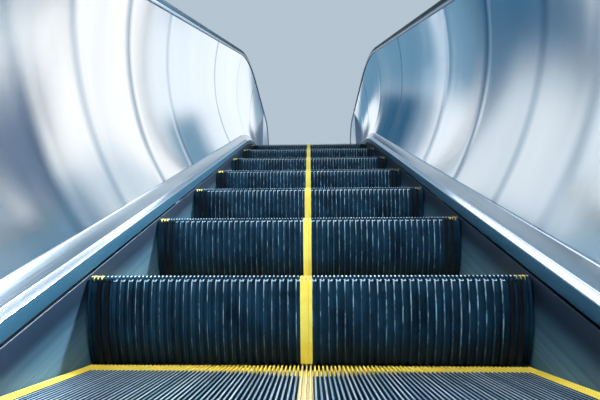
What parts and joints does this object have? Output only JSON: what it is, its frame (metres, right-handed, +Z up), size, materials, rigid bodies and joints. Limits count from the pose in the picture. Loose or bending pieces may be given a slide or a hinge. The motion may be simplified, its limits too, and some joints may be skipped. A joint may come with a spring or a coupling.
{
  "type": "escalator",
  "caption": "Escalator with solid steel balustrades: ribbed steps rising between skirts and hollow-curved panels, with handrails, combs, floor plates and a clad casing.",
  "frame": {"origin": "middle of the bearing face of the lower support bracket", "axes": "+X across the steps to the right of someone who rides up, +Y the way up along the floor, +Z up"},
  "size_m": [1.56, 10.2762, 4.75],
  "materials": {
    "step_aluminium": "ribbed, dark, worn",
    "skirt_steel": "brushed along the slope",
    "deck_steel": "polished folds",
    "panel_steel": "satin, softly reflecting",
    "cladding_steel": "satin",
    "guide_aluminium": "satin",
    "handrail_rubber": "smooth, half gloss",
    "newel_steel": "satin",
    "comb_yellow": "painted, worn",
    "landing_aluminium": "ribbed",
    "frame_paint": "matt paint"
  },
  "bodies": {
    "root": {"step_01": "step_aluminium", "step_02": "step_aluminium", "step_03": "step_aluminium", "step_04": "step_aluminium", "step_05": "step_aluminium", "step_06": "step_aluminium", "step_07": "step_aluminium", "step_08": "step_aluminium", "step_09": "step_aluminium", "step_10": "step_aluminium", "step_11": "step_aluminium", "step_12": "step_aluminium", "step_13": "step_aluminium", "step_14": "step_aluminium", "step_15": "step_aluminium", "step_16": "step_aluminium", "step_17": "step_aluminium", "step_18": "step_aluminium", "step_19": "step_aluminium", "step_20": "step_aluminium", "step_21": "step_aluminium", "step_22": "step_aluminium", "left_skirt": "skirt_steel", "left_inner_deck": "deck_steel", "left_inner_panels": "panel_steel", "left_outer_panels": "panel_steel", "left_outer_deck": "deck_steel", "left_side_cladding": "cladding_steel", "left_handrail_guide": "guide_aluminium", "left_handrail": "handrail_rubber", "left_truss": "frame_paint", "left_step_track": "frame_paint", "right_skirt": "skirt_steel", "right_inner_deck": "deck_steel", "right_inner_panels": "panel_steel", "right_outer_panels": "panel_steel", "right_outer_deck": "deck_steel", "right_side_cladding": "cladding_steel", "right_handrail_guide": "guide_aluminium", "right_handrail": "handrail_rubber", "right_truss": "frame_paint", "right_step_track": "frame_paint", "left_lower_newel": "newel_steel", "left_upper_newel": "newel_steel", "right_lower_newel": "newel_steel", "right_upper_newel": "newel_steel", "lower_combs": "comb_yellow", "lower_comb_plate": "landing_aluminium", "lower_floor_plate": "landing_aluminium", "lower_end_frame": "frame_paint", "upper_combs": "comb_yellow", "upper_comb_plate": "landing_aluminium", "upper_floor_plate": "landing_aluminium", "upper_end_frame": "frame_paint", "soffit": "cladding_steel"}
  },
  "joints": []
}
